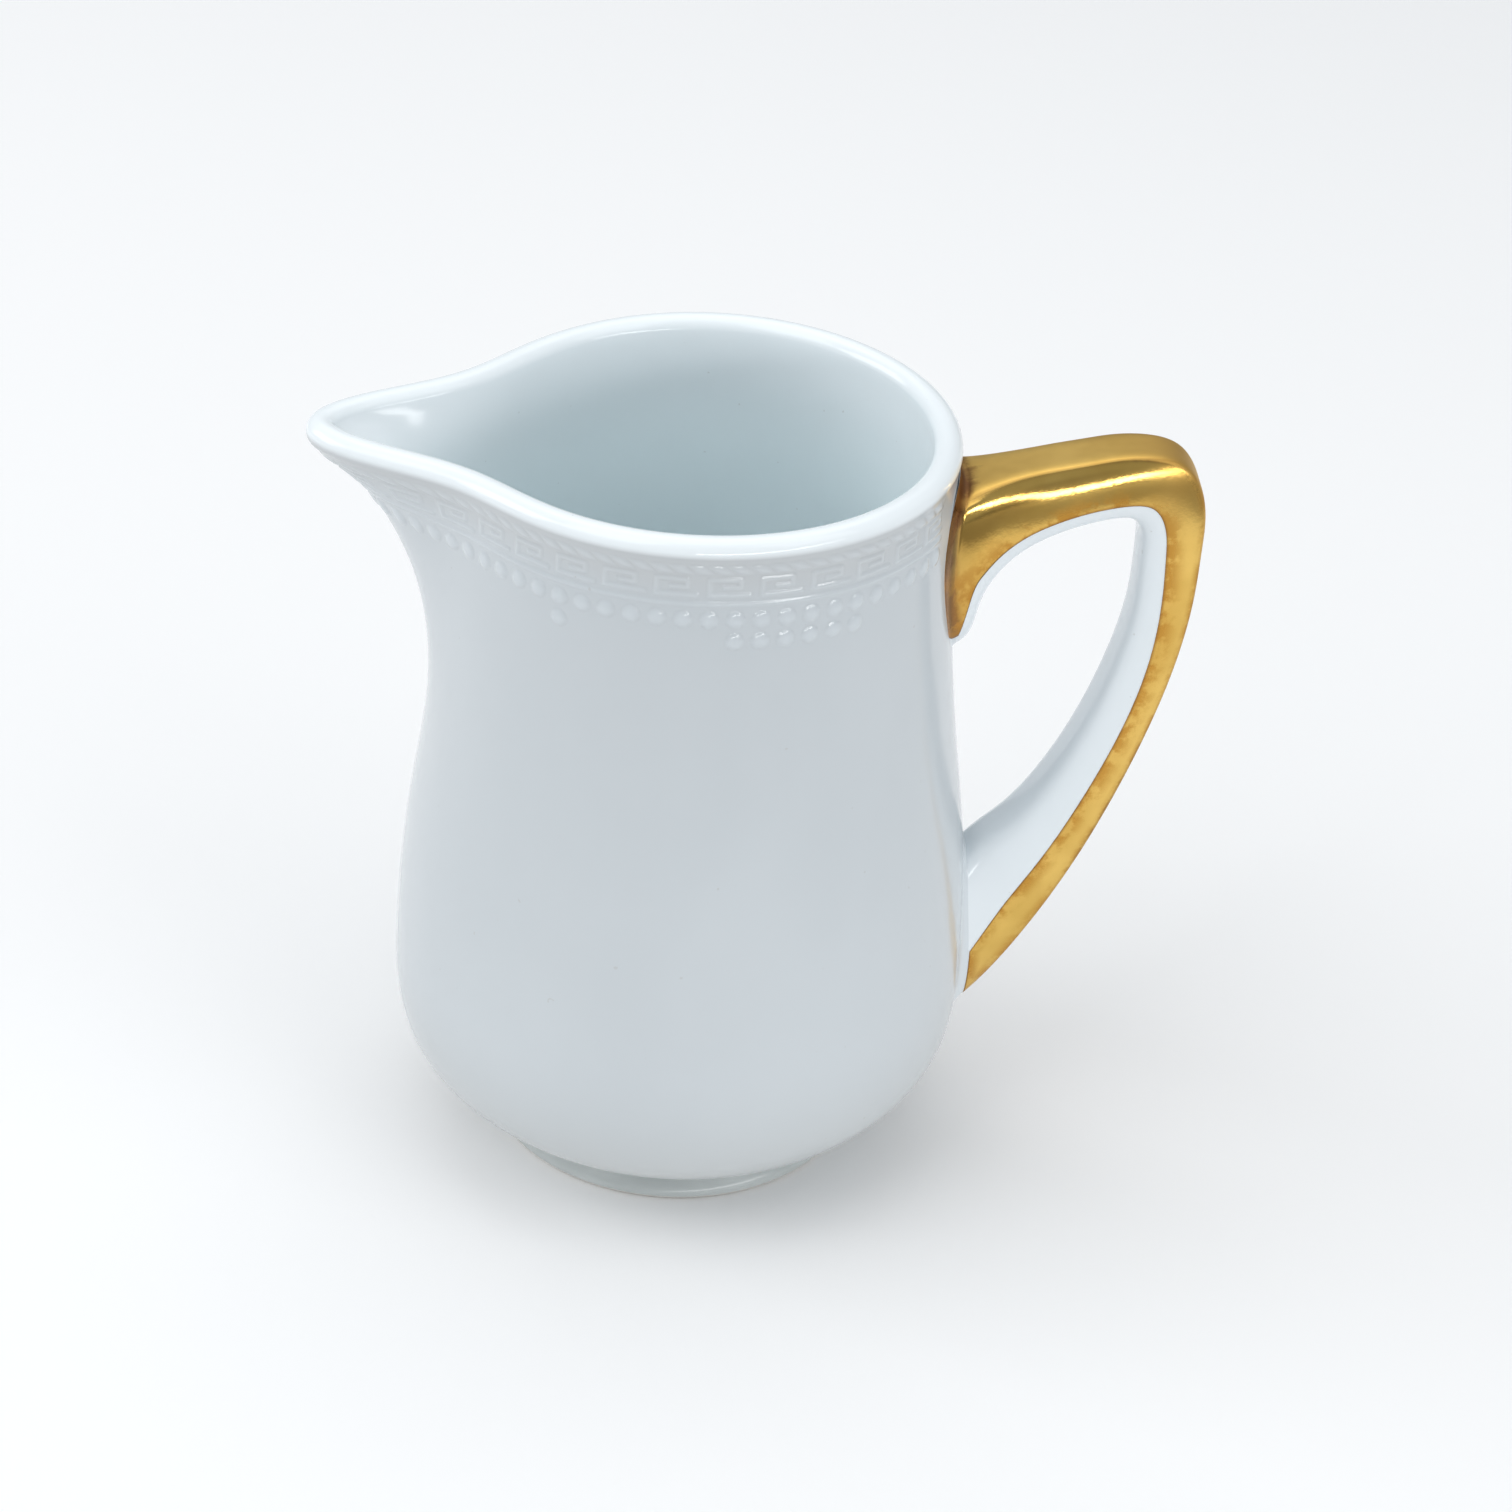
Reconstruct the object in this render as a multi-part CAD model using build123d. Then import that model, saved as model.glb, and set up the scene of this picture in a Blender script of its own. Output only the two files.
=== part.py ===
from build123d import *

import os
from math import atan2, cos, pi, radians, sin

os.makedirs("parts", exist_ok=True)

# A small cast-porcelain cream jug: a pear-shaped body with a pinched spout, a rolled lip and
# a turned foot ring, and a separately cast handle that is luted on with slip and gilded.
# Millimetres, +Z up. The origin is the centre of the foot's resting plane. +X points to the
# handle and -X to the spout. Angles run round +Z from the handle, so the spout is at pi.

# ---- driving dimensions -------------------------------------------------------------------
rim_height = 100.0          # top of the lip at the handle
rim_drop_at_spout = 1.3     # the lip is this much lower at the spout's tip
rim_drop_spread = 2.8       # the higher, the more the drop keeps to the spout
rim_drop_levels = (40.0, 100.0)     # the drop grows from nothing to all of it
lip_roll_radius = 1.75      # the lip is a half-round roll
lip_roll_starts = (-20, -45)    # degrees round the roll where the wall meets it: body, spout
lip_rolls = (15, 50, 90, 130, 170)
wall = 2.7                  # thickness of the cast wall below the lip
lip_thickening = 0.5        # the wall is this much thicker under the lip
lip_thickening_levels = (88.0, 98.0)
floor_top = 6.0             # height of the inside floor at its centre

# Round body: height of each level and its outer radius.
body_levels = [
    (3.0, 22.4), (5.0, 25.2), (8.0, 29.4), (11.0, 32.6), (14.0, 34.7), (18.0, 36.0),
    (22.0, 36.4), (27.0, 36.4), (32.0, 36.2), (38.0, 35.8), (45.0, 35.1), (58.0, 33.2),
    (70.0, 31.7), (80.0, 30.8), (90.0, 30.5),
]
rim_radius = 30.6
# Inside of the bottom: height and radius, up to where the wall has its even thickness.
bowl_levels = [(16.0, 32.6), (12.0, 30.4), (8.5, 26.0), (6.6, 19.5), (floor_top, 11.0)]

# Spout: how far it stands out of the round body at the rim, and how it fades out below.
spout_reach = 17.2
spout_start = 49.6
spout_growth = 2.8
spout_half_width = radians(27.5)
spout_sharpness = 4.5

foot_height = 3.0
foot_outer_radius = 23.6
foot_waist_radius = 22.4
foot_inner_radius = 20.4
foot_inner_top_radius = 19.4
foot_chamfer = 0.6

# Handle: ribs from the upper root round to the lower root. Each rib joins a point of the
# outer edge to a point of the inner edge, as (x, z), and carries the half width across.
handle_ribs = [
    ((24.0, 92.5), (24.0, 62.0), 3.8),
    ((27.0, 93.1), (27.0, 65.0), 3.8),
    ((29.5, 93.6), (29.5, 68.5), 3.8),
    ((31.5, 94.0), (31.5, 71.5), 3.8),
    ((33.5, 94.4), (33.5, 76.6), 3.8),
    ((36.5, 95.0), (36.5, 82.2), 3.8),
    ((41.0, 95.9), (41.0, 86.4), 3.8),
    ((46.5, 96.9), (46.5, 88.9), 3.7),
    ((52.2, 97.9), (50.6, 89.8), 3.6),
    ((57.6, 97.0), (52.7, 89.4), 3.5),
    ((60.6, 92.6), (53.6, 87.8), 3.5),
    ((61.4, 86.0), (53.8, 84.5), 3.5),
    ((61.0, 78.0), (53.4, 77.4), 3.5),
    ((59.6, 68.5), (51.7, 69.3), 3.5),
    ((57.0, 58.2), (48.9, 60.6), 3.6),
    ((53.4, 47.5), (45.0, 52.2), 3.7),
    ((48.9, 36.8), (40.4, 45.6), 3.8),
    ((44.0, 27.4), (37.0, 42.2), 4.0),
    ((39.0, 20.0), (35.2, 40.0), 4.2),
    ((33.9, 14.5), (33.9, 38.4), 4.4),
]
handle_run_ends = (0, 10, 15, 17, len(handle_ribs) - 1)
section_squareness = 3.2    # exponent of the rounded-square section of the handle
section_point_count = 16
# The upper root flares along a concave curve where it runs into the body.
upper_flare_radius = 14.0
upper_flare_start = 41.0
upper_flare_run = 13.0
lower_flare = 2.6           # extra half width at the last rib
lower_flare_ribs = 3        # ribs over which it fades out

cutting_size = 160.0        # blocks that only cut are larger than the jug

upper_root_heights = (60, 110)
lower_root_heights = (0, 55)
slip_thickness = 0.4        # slip between handle and body
slip_squeeze = 0.5          # how far the slip stands out round the handle's end
gilding_thickness = 0.2

# Edge of the gilding on the handle's side, as (x, z), from the upper root to the lower one.
gilding_edge = [
    (32.3, 72.5), (32.8, 79.5), (36.8, 86.2), (45.5, 90.9), (52.0, 92.2), (56.2, 89.0),
    (56.6, 76.0), (54.4, 62.0), (50.6, 51.5), (45.3, 40.8), (37.4, 26.8), (33.0, 20.5),
]

gilding_frame = (20, 75, 8, 110)    # the gilded side is inside these x and z limits

# Relief under the lip: heights of each band or row, and how proud it stands.
relief_gap = 0.02           # keeps the small separate pieces clear of the wall
rim_slope = 0.9             # degrees by which the bands tilt down towards the spout
band_drop = 0.3             # and how far they sink on the jug's axis
rope_level = 96.4
rope_pitch = 2.3
rope_strand = (1.7, 0.75, 0.35)     # length, width and height of one strand
rope_slant = 40             # degrees from the level
fret_band = (92.8, 95.1)
fillet_band = (91.8, 92.1)
fret_relief = 0.3
fillet_relief = 0.3
bead_level = 90.0
bead_pitch = 3.05
bead_radius = 1.15
bead_sink = 0.65            # bead centres lie this far inside the surface
drop_level = 87.2
# Beads of the second row: angle of the middle of each group, and how many hang there.
drop_groups = {-124: 1, -72: 6, 72: 6, 124: 1}

ring_point_count = 32       # points of each closed spline round the body
spout_crowding = 0.45       # how much closer those points lie at the spout


# ---- the body's shape ---------------------------------------------------------------------
def smooth_step(value, limits):
    """0 below the lower limit, 1 above the upper one, and a smooth rise between."""
    low, high = limits
    share = min(max((value - low) / (high - low), 0.0), 1.0)
    return share * share * (3 - 2 * share)


def spout_bulge(angle):
    """Share of the spout's full reach at an angle: 1 at its tip, 0 far from it."""
    across = 2 * sin((angle - pi) / 2) / spout_half_width
    return (1 + 3 * across**2 / spout_sharpness) ** -spout_sharpness


def outer_radius(angle, level, round_radius):
    """Radius of the outer surface: the round body plus the spout's bulge."""
    growth = max((level - spout_start) / (rim_height - spout_start), 0.0) ** spout_growth
    return round_radius + spout_reach * growth * spout_bulge(angle)


def ring_height(angle, level):
    """Height of a level at an angle: the upper levels sink towards the spout."""
    towards_spout = ((1 - cos(angle)) / 2) ** rim_drop_spread
    return level - rim_drop_at_spout * towards_spout * smooth_step(level, rim_drop_levels)


def ring_angles():
    steps = [2 * pi * i / ring_point_count - pi for i in range(ring_point_count)]
    return [pi + step - spout_crowding * sin(step) for step in steps]


def ring_point(angle, level, round_radius, inset=0.0):
    """A point of the body's contour, moved inwards along the contour's own normal."""
    step = 0.002
    radii = [outer_radius(angle + turn, level, round_radius) for turn in (-step, 0, step)]
    slope = (radii[2] - radii[0]) / (2 * step)
    normal = Vector(
        radii[1] * cos(angle) + slope * sin(angle), radii[1] * sin(angle) - slope * cos(angle)
    ).normalized()
    height = ring_height(angle, level)
    return Vector(radii[1] * cos(angle), radii[1] * sin(angle), height) - normal * inset


def closed_curve(points):
    """A closed curve through points, evenly parametrised so that lofts stay light."""
    count = len(points)
    evenly = [index / count for index in range(count + 1)]
    return Wire([Edge.make_spline(points, periodic=True, parameters=evenly)])


def ring_points(level, round_radius, inset=0.0):
    return [ring_point(angle, level, round_radius, inset) for angle in ring_angles()]


def ring(level, round_radius, inset=0.0):
    """A closed curve round the body at a level, set in from the outer surface."""
    return closed_curve(ring_points(level, round_radius, inset))


def round_ring(height, radius):
    """A circle at a height, with its points at the same angles as the other rings."""
    return closed_curve(
        [Vector(radius * cos(angle), radius * sin(angle), height) for angle in ring_angles()]
    )


def roll_points(roll, offset=0.0):
    """Points of the lip's roll, at an angle above its outermost line."""
    inset = lip_roll_radius * (1 - cos(radians(roll)))
    lift = Vector(0, 0, lip_roll_radius * (sin(radians(roll)) - 1))
    return [point + lift for point in ring_points(rim_height, rim_radius, inset - offset)]


def roll_start_points(offset=0.0):
    """Where the wall runs into the lip's roll: lower on the roll at the flared spout."""
    upright, flared = (roll_points(roll, offset) for roll in lip_roll_starts)
    shares = [spout_bulge(angle) for angle in ring_angles()]
    return [u + (f - u) * share for u, f, share in zip(upright, flared, shares)]


def outside_rings(offset=0.0):
    """The rings up the outside, as far as the start of the lip's roll."""
    top_level, top_radius = body_levels[-1]
    wall_top, roll_start = ring_points(top_level, top_radius, -offset), roll_start_points(offset)
    neck = [
        closed_curve([w + (r - w) * share for w, r in zip(wall_top, roll_start)])
        for share in (1 / 3, 2 / 3, 1)
    ]
    return [ring(level, radius, -offset) for level, radius in body_levels] + neck


def filled_body(offset):
    """The body as one solid block, its surface moved outwards, without the rolled lip."""
    over_rim = rim_height + lip_roll_radius
    top = [Vector(point.X, point.Y, over_rim) for point in roll_start_points(offset)]
    stub = [point + Vector(0, 0, 1) for point in roll_start_points(offset)]
    return Solid.make_loft(outside_rings(offset) + [closed_curve(stub), closed_curve(top)])


def jug_body():
    """The cast body: up the outside, over the lip, down the inside to the floor."""
    lip = [closed_curve(roll_points(roll)) for roll in lip_rolls]
    inside = [
        ring(level, radius, wall + lip_thickening * smooth_step(level, lip_thickening_levels))
        for level, radius in reversed(body_levels)
        if level > bowl_levels[0][0]
    ]
    bowl = [round_ring(height, radius) for height, radius in bowl_levels]
    return Solid.make_loft(outside_rings() + lip + inside + bowl)


def foot_ring():
    """The turned foot ring, tapering up to the waist under the belly."""
    with BuildPart() as part:
        with BuildSketch(Plane.XZ):
            with BuildLine():
                Polyline(
                    (foot_inner_radius, 0.0), (foot_outer_radius - foot_chamfer, 0.0),
                    (foot_outer_radius, foot_chamfer), (foot_waist_radius, foot_height),
                    (foot_inner_top_radius, foot_height), close=True,
                )
            make_face()
        revolve(axis=Axis.Z)
    return part.part.solid()


# ---- the handle ---------------------------------------------------------------------------
def side_flare(x, part_way, rib_count_left):
    """Extra half width of a rib, part way from its outer to its inner edge."""
    run = min(max(upper_flare_start - x, 0.0), upper_flare_run)
    on_arm = rib_count_left > len(handle_ribs) / 2
    if on_arm:
        reach = upper_flare_radius - (upper_flare_radius**2 - run**2) ** 0.5
        return reach * part_way**0.15 * (1 - part_way) ** 0.55 / 0.7
    reach = lower_flare * max(1 - rib_count_left / lower_flare_ribs, 0.0) ** 2
    return reach * sin(pi * part_way) ** 0.5


def handle_section(index, grow):
    """The closed section of the handle at one rib, grown outwards all round."""
    (outer_x, outer_z), (inner_x, inner_z), half_width = handle_ribs[index]
    outer, inner = Vector(outer_x, 0, outer_z), Vector(inner_x, 0, inner_z)
    along = (inner - outer).normalized()
    outer, inner = outer - along * grow, inner + along * grow
    power = 2 / section_squareness
    half_round = section_point_count // 2
    points = []
    for step in range(section_point_count):
        turn = pi * step / half_round
        down = 0.5 - 0.5 * abs(cos(turn)) ** power * (1 if cos(turn) > 0 else -1)
        side = abs(sin(turn)) ** power * (half_width + grow)
        centre = outer + (inner - outer) * down
        if step % half_round:
            side += side_flare(centre.X, down, len(handle_ribs) - 1 - index)
        points.append(centre + Vector(0, side if step < half_round else -side, 0))
    return closed_curve(points)


def handle_loft(grow=0.0):
    """The whole handle, lofted in runs that meet at shared ribs."""
    sections = [handle_section(i, grow) for i in range(len(handle_ribs))]
    runs = [
        Solid.make_loft(sections[first : last + 1])
        for first, last in zip(handle_run_ends, handle_run_ends[1:])
    ]
    return runs[0].fuse(*runs[1:]).solid()


def outermost(shape):
    """The separate solid that reaches furthest out, without what is left inside the jug."""
    return max(shape.solids(), key=lambda solid: solid.bounding_box().max.X)


def luting_slip(body, skin, low, high):
    """Slip between the body and one end of the handle, between two heights."""
    end = Pos(0, 0, (low + high) / 2) * Box(cutting_size, cutting_size, high - low)
    return outermost((handle_loft(slip_squeeze) & skin & end) - body)


def gilding(body_skin, plain_handle):
    """The gold on the handle's top, back and sides, as a thin separate layer."""
    edge = Edge.make_spline([Vector(x, 0, z) for x, z in gilding_edge])
    (first_x, first_z), (last_x, last_z) = gilding_edge[0], gilding_edge[-1]
    inside_x, outside_x, bottom, top = gilding_frame
    outside = Polyline(
        (last_x, 0, last_z), (inside_x, 0, bottom), (outside_x, 0, bottom),
        (outside_x, 0, top), (inside_x, 0, top), (inside_x, 0, first_z), (first_x, 0, first_z),
    )
    region = Face(Wire([edge] + outside.edges())).moved(Pos(0, -cutting_size / 2, 0))
    block = Solid.extrude(region, Vector(0, cutting_size, 0))
    return (handle_loft(gilding_thickness) & block) - plain_handle - body_skin


# ---- the relief ---------------------------------------------------------------------------
def tilted(height):
    """The level plane of a relief band, which follows the rim down to the spout."""
    return Plane((0, 0, height - band_drop)).rotated((0, -rim_slope, 0))


def relief_band(limits, relief, body, clear_of):
    """A raised band round the body between two heights, cut away at the handle."""
    low, high = limits
    slab = tilted((low + high) / 2) * Box(cutting_size, cutting_size, high - low)
    return outermost((filled_body(relief) & slab) - body - clear_of)


def round_radius_at(level):
    """Radius of the round body between the listed levels."""
    for (low, low_radius), (high, high_radius) in zip(body_levels, body_levels[1:]):
        if low <= level <= high:
            return low_radius + (high_radius - low_radius) * (level - low) / (high - low)
    return rim_radius


def places_round(level, pitch, body):
    """Evenly spaced places on the body's surface, X along the ring and Z straight out."""
    curve = ring(level, round_radius_at(level))
    count = round(curve.length / pitch)
    for index in range(count):
        along = curve % (index / count)
        level_out = Vector(along.Y, -along.X, 0)
        line = Axis(curve @ (index / count) - level_out * wall / 2, level_out)
        point, outwards = body.find_intersection_points(line)[-1]
        yield Plane(point + outwards * relief_gap, x_dir=along, z_dir=outwards)


def clear_places(level, pitch, body, clear_of):
    """The places round the body that the handle's upper root doesn't cover."""
    for place in places_round(level, pitch, body):
        if Vertex(*place.origin).distance_to(clear_of) > pitch / 2:
            yield place


def bead():
    """A shallow cap of a sphere, standing on its flat."""
    ball = Pos(0, 0, -bead_sink) * Sphere(bead_radius)
    width = 2 * bead_radius
    return ball & Pos(0, 0, bead_radius) * Box(width, width, width)


def rope_edging(body, clear_of):
    """Short slanted strands in a row right under the lip."""
    length, width, height = rope_strand
    strand = Pos(0, 0, height / 2) * Rot(Z=rope_slant) * Box(length, width, height)
    return [place * strand for place in clear_places(rope_level, rope_pitch, body, clear_of)]


def bead_row(body, clear_of):
    places = clear_places(bead_level, bead_pitch, body, clear_of)
    return [place * bead() for place in places]


def drop_beads(body, clear_of):
    """Short groups of beads that hang below the main row."""
    places = list(clear_places(drop_level, bead_pitch, body, clear_of))
    kept = []
    for middle, count in drop_groups.items():
        row = sorted(
            places,
            key=lambda place: abs(atan2(place.origin.Y, place.origin.X) - radians(middle)),
        )
        kept += [place * bead() for place in row[:count]]
    return kept


# ---- every sub-part, written to its own file -----------------------------------------------
body = jug_body()
handle_block = handle_loft()
slip_reach = handle_loft(slip_squeeze)      # nothing in the relief comes nearer than this
slip_skin = filled_body(slip_thickness)

sub_parts = {
    "jug_body": body,
    "foot_ring": foot_ring(),
    "handle": handle_block - slip_skin,
    "upper_luting_slip": luting_slip(body, slip_skin, *upper_root_heights),
    "lower_luting_slip": luting_slip(body, slip_skin, *lower_root_heights),
    "handle_gilding": gilding(slip_skin, handle_block),
    "rope_edging": Compound(children=rope_edging(body, slip_reach)),
    "fret_border": relief_band(fret_band, fret_relief, body, slip_reach),
    "fillet_line": relief_band(fillet_band, fillet_relief, body, slip_reach),
    "bead_row": Compound(children=bead_row(body, slip_reach)),
    "drop_beads": Compound(children=drop_beads(body, slip_reach)),
}
for name, shape in sub_parts.items():
    export_step(shape, f"parts/{name}.step")
    print(name, "solids", len(shape.solids()), "volume", round(shape.volume, 1), "mm3")
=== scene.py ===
import bpy
import numpy as np
from mathutils import Matrix, Quaternion, Vector


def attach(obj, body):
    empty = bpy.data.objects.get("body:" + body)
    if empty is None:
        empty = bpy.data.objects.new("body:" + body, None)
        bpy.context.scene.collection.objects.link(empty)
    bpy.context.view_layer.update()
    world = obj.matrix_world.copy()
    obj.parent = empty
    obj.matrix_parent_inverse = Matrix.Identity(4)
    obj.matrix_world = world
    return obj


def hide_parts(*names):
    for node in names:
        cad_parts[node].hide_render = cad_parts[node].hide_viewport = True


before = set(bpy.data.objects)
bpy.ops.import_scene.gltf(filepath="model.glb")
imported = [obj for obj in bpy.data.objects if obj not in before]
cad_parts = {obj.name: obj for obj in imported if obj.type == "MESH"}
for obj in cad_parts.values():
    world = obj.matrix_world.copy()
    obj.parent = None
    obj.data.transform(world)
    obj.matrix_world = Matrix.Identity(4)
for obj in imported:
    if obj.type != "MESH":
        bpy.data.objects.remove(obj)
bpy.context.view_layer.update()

# A gilded porcelain cream jug. The row frame: origin at the centre of the foot, +X to the
# handle, -X to the spout, +Z up. Shapes below are worked out in millimetres and written to
# the meshes in metres. Angles run round +Z from the handle, so the spout is at pi.
MM = 0.001

# ---- driving dimensions, as in the CAD model ------------------------------------------------
RIM_HEIGHT = 100.0
RIM_RADIUS = 30.6
RIM_DROP_AT_SPOUT = 1.3
LIP_ROLL_RADIUS = 1.75
LIP_ROLL_STARTS = (-12.0, -45.0)
LIP_ROLL_END = 172.0
WALL = 2.7

BODY_LEVELS = [
    (3.0, 22.4), (5.0, 25.2), (8.0, 29.4), (11.0, 32.6), (14.0, 34.7), (18.0, 36.0),
    (22.0, 36.4), (27.0, 36.4), (32.0, 36.2), (38.0, 35.8), (45.0, 35.1), (58.0, 33.2),
    (70.0, 31.7), (80.0, 30.8), (90.0, 30.5),
]
BOWL_LEVELS = [(18.0, 33.25), (16.0, 32.6), (12.0, 30.4), (8.5, 26.0), (6.6, 19.5), (6.0, 11.0), (5.9, 0.4)]

SPOUT_REACH = 17.2
SPOUT_START = 49.6
SPOUT_GROWTH = 2.8
SPOUT_HALF_WIDTH = np.radians(27.5)
SPOUT_SHARPNESS = 4.5

# The foot's profile, from its recess round its resting edge to the waist: radius and height.
FOOT_OUTLINE = [
    (19.4, 3.0), (20.0, 1.4), (20.4, 0.35), (20.9, 0.0), (22.7, 0.0), (23.35, 0.25),
    (23.6, 0.8), (23.2, 1.9), (22.6, 2.7), (22.4, 3.0),
]

# Handle ribs from the upper root to the lower one: outer (x, z), inner (x, z), half width
# across, and the share of the side, from the outer edge, that is gilded.
HANDLE_RIBS = [
    ((27.0, 92.3), (28.8, 70.3), 5.0, 0.95),
    ((29.5, 92.8), (31.4, 71.3), 5.0, 0.93),
    ((31.5, 93.4), (33.2, 73.0), 5.0, 0.67),
    ((33.5, 94.0), (34.1, 77.0), 5.0, 0.655),
    ((36.5, 94.9), (36.5, 82.2), 5.0, 0.71),
    ((41.0, 96.1), (41.0, 86.3), 5.0, 0.72),
    ((46.5, 97.35), (46.5, 88.8), 4.9, 0.705),
    ((52.2, 98.15), (50.4, 89.65), 4.7, 0.695),
    ((57.4, 97.0), (52.0, 89.2), 4.4, 0.66),
    ((60.2, 92.7), (52.85, 87.8), 4.2, 0.635),
    ((60.9, 86.0), (53.2, 84.5), 4.0, 0.60),
    ((60.7, 78.0), (53.1, 77.4), 3.9, 0.55),
    ((59.4, 68.5), (51.7, 69.3), 3.85, 0.475),
    ((56.8, 58.2), (49.0, 60.6), 3.85, 0.447),
    ((53.2, 47.5), (45.1, 52.0), 3.9, 0.445),
    ((48.7, 36.8), (40.5, 45.3), 3.95, 0.42),
    ((43.8, 27.6), (37.1, 42.0), 4.1, 0.395),
    ((38.8, 20.4), (35.3, 39.8), 4.3, 0.35),
    ((33.9, 15.2), (33.9, 38.3), 4.5, 0.28),
]
UPPER_FLARE_RADIUS = 14.0
UPPER_FLARE_START = 41.0
UPPER_FLARE_RUN = 13.0
UPPER_FLARE_SHARE = 1.16
LOWER_FLARE = 2.6
# Half of the handle's section, from the middle of its outer face to the middle of its inner
# one: how far round, how far down, and how far out as a share of the half width.
HANDLE_SECTION = [
    (0.00, 0.000, 0.00), (0.14, 0.000, 0.36), (0.25, 0.009, 0.62), (0.30, 0.030, 0.705),
    (0.35, 0.090, 0.772), (0.40, 0.170, 0.836), (0.47, 0.300, 0.908), (0.56, 0.470, 0.966),
    (0.66, 0.690, 1.000),
    (0.74, 0.825, 0.965), (0.82, 0.930, 0.830), (0.91, 0.988, 0.500), (1.00, 1.000, 0.00),
]
# Slip fillets: how far they reach onto the body and onto the handle, at the handle's outer
# face and then at its inner one.
UPPER_FILLET = ((2.6, 1.5), (0.5, 1.0))
LOWER_FILLET = ((1.5, 1.9), (1.5, 1.9))
GOLD_STOPS_SHORT = 1.2      # of the body, at the lower joint
GOLD_CORNER = 0.06          # share of its width that the gold draws in at the upper joint
GOLD_EDGE_PASSES = 8        # rounds in which the places of the gold's ends settle
# Worn gold on the ridge: place and width along X, and how far down the side. Duller gold round the top
# corner, its colour also darkened as painted shade: place and width along X, then along Z.
SMUDGE = ((53.0, 4.0), (0.04, 0.022))
BEND = ((57.0, 4.0), (95.0, 6.0))

# Relief under the lip: levels, spacing and heights.
ROPE_LEVEL, ROPE_PITCH = 96.1, 2.3
FRET_LEVELS, FRET_PITCH = (92.8, 95.1), 6.2
FILLET_LEVEL = 91.9
BEAD_LEVEL, BEAD_PITCH, BEAD_RADIUS = 90.0, 3.05, 1.12
DROP_LEVEL = 87.2
RELIEF_STOPS = 13.2         # mm round from the middle of the handle
DROP_GROUPS = {-124: 1, -72: 6, 72: 6, 124: 1}
ROPE_RELIEF, FRET_RELIEF, FILLET_RELIEF, BEAD_RELIEF = 0.20, 0.14, 0.13, 0.27
ROPE_HALF_WIDTH, ROPE_SLANT = 0.62, 1.1
FILLET_HALF_WIDTH = 0.34
RELIEF_FADE = 1.5           # mm over which the relief rises where it starts
# Bars of one fret key, as shares of its pitch and of the band's height: left, right, low, high.
FRET_BARS = [
    (0.06, 0.90, 0.00, 0.20), (0.06, 0.14, 0.00, 1.00), (0.06, 0.72, 0.80, 1.00),
    (0.64, 0.72, 0.40, 1.00), (0.34, 0.72, 0.40, 0.60),
]

# ---- the camera -------------------------------------------------------------------------------
CAMERA_AZIMUTH, CAMERA_ELEVATION, CAMERA_ROLL = np.radians([-4.79, 32.15, 3.95])
CAMERA_DISTANCE = 517.2
CAMERA_OFFSET = (-11.47, -44.17)
LENS, SENSOR = 92.64, 36.0


def add_camera():
    """A camera turned about the jug's axis, and then slid sideways and up in its own view."""
    azimuth, elevation, roll = CAMERA_AZIMUTH, CAMERA_ELEVATION, CAMERA_ROLL
    back = Vector((
        np.sin(azimuth) * np.cos(elevation), -np.cos(azimuth) * np.cos(elevation), np.sin(elevation)
    ))
    level = Vector((np.cos(azimuth), np.sin(azimuth), 0))
    upright = back.cross(level)
    right = level * np.cos(roll) + upright * np.sin(roll)
    up = upright * np.cos(roll) - level * np.sin(roll)
    place = back * CAMERA_DISTANCE - right * CAMERA_OFFSET[0] - up * CAMERA_OFFSET[1]
    data = bpy.data.cameras.new("camera")
    data.lens, data.sensor_width, data.clip_start = LENS, SENSOR, 0.01
    camera = bpy.data.objects.new("camera", data)
    turn = Matrix((right, up, back)).transposed().to_4x4()
    camera.matrix_world = Matrix.Translation(place * MM) @ turn
    bpy.context.scene.collection.objects.link(camera)
    bpy.context.scene.camera = camera


add_camera()


# ---- curves and grids -------------------------------------------------------------------------
def smooth_step(value):
    value = np.clip(value, 0.0, 1.0)
    return value * value * (3 - 2 * value)


def spline(knots, values, at):
    """Natural cubic spline through values at knots. values may have several columns."""
    knots, values = np.asarray(knots, float), np.asarray(values, float)
    at = np.asarray(at, float)
    gaps = np.diff(knots)
    count = len(knots)
    system, right = np.eye(count), np.zeros_like(values)
    slopes = (np.diff(values, axis=0).T / gaps).T
    for i in range(1, count - 1):
        system[i, i - 1 : i + 2] = gaps[i - 1], 2 * (gaps[i - 1] + gaps[i]), gaps[i]
        right[i] = 6 * (slopes[i] - slopes[i - 1])
    bends = np.linalg.solve(system, right)
    i = np.clip(np.searchsorted(knots, at) - 1, 0, count - 2)
    shape = (-1,) + (1,) * (values.ndim - 1)
    gap = gaps[i].reshape(shape)
    a = (knots[i + 1] - at).reshape(shape) / gap
    b = 1 - a
    curve = (a**3 - a) * bends[i] + (b**3 - b) * bends[i + 1]
    return a * values[i] + b * values[i + 1] + curve * gap**2 / 6


def mesh_object(name, points, faces):
    """A smooth-shaded mesh object from points in millimetres."""
    mesh = bpy.data.meshes.new(name)
    mesh.from_pydata((np.asarray(points) * MM).tolist(), [], faces)
    mesh.polygons.foreach_set("use_smooth", [True] * len(mesh.polygons))
    mesh.update()
    item = bpy.data.objects.new(name, mesh)
    bpy.context.scene.collection.objects.link(item)
    return item


def grid_faces(rows, columns, closed_round=True, first=0):
    """Quads of a grid of points, rows by columns, facing out where rows run upwards."""
    row = np.arange(rows - 1)[:, None] * columns + first
    column = np.arange(columns if closed_round else columns - 1)[None, :]
    after = (column + 1) % columns
    quads = np.stack(
        [row + column, row + after, row + columns + after, row + columns + column], axis=-1
    )
    return quads.reshape(-1, 4).tolist()


def add_attribute(item, name, values):
    attribute = item.data.attributes.new(name, "FLOAT", "POINT")
    attribute.data.foreach_set("value", np.asarray(values, np.float32).ravel())


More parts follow.
